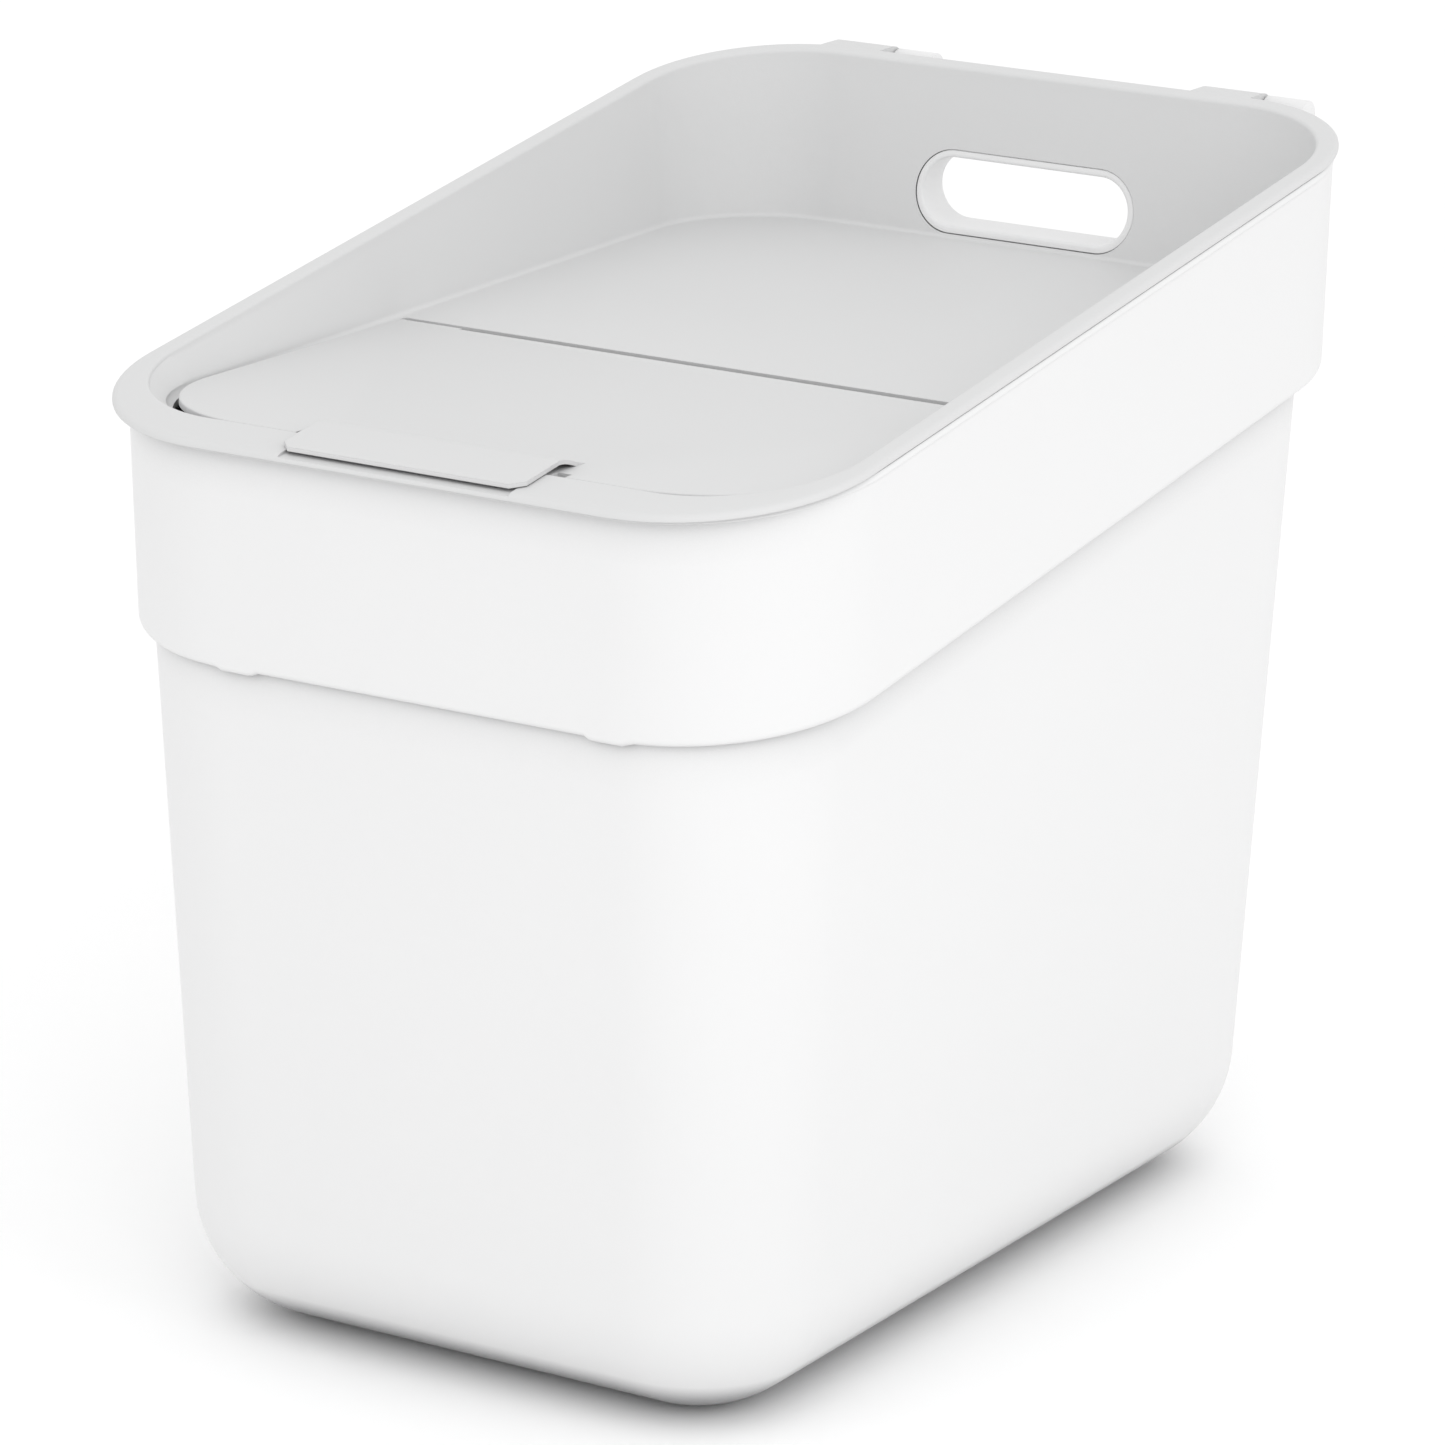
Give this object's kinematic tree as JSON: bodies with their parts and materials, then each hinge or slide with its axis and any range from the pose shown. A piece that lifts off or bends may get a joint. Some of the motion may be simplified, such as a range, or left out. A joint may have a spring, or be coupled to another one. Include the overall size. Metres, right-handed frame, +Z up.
{
  "type": "lidded bin",
  "caption": "Tapered free-standing plastic bin with a flared collar, a hinged lid frame with sunken tray, a rear hand slot and a hinged front flap with thumb tab.",
  "frame": {"origin": "on the floor, at the flat underside of the body, below the middle of the rim's length and width", "axes": "+X to the right seen from the front, +Y to the rear where the hand slot and the lid hinge are, +Z up"},
  "size_m": [0.2348, 0.3608, 0.3156],
  "materials": {
    "body_plastic": "white moulded plastic with a soft satin sheen",
    "lid_plastic": "light grey moulded plastic with a fine matt grain"
  },
  "bodies": {
    "bin": {"bin_body": "body_plastic"},
    "lid": {"lid_frame": "lid_plastic"},
    "flap": {"flap": "lid_plastic"}
  },
  "joints": [
    {"name": "lid_hinge", "type": "hinge", "parent": "bin", "child": "lid", "pos_m": [0, 0.183, 0.31], "axis": [-1, 0, 0], "range_deg": [0, 105]},
    {"name": "flap_hinge", "type": "hinge", "parent": "lid", "child": "flap", "pos_m": [0, -0.0238, 0.2614], "axis": [-1, 0, 0], "range_deg": [0, 95]}
  ]
}
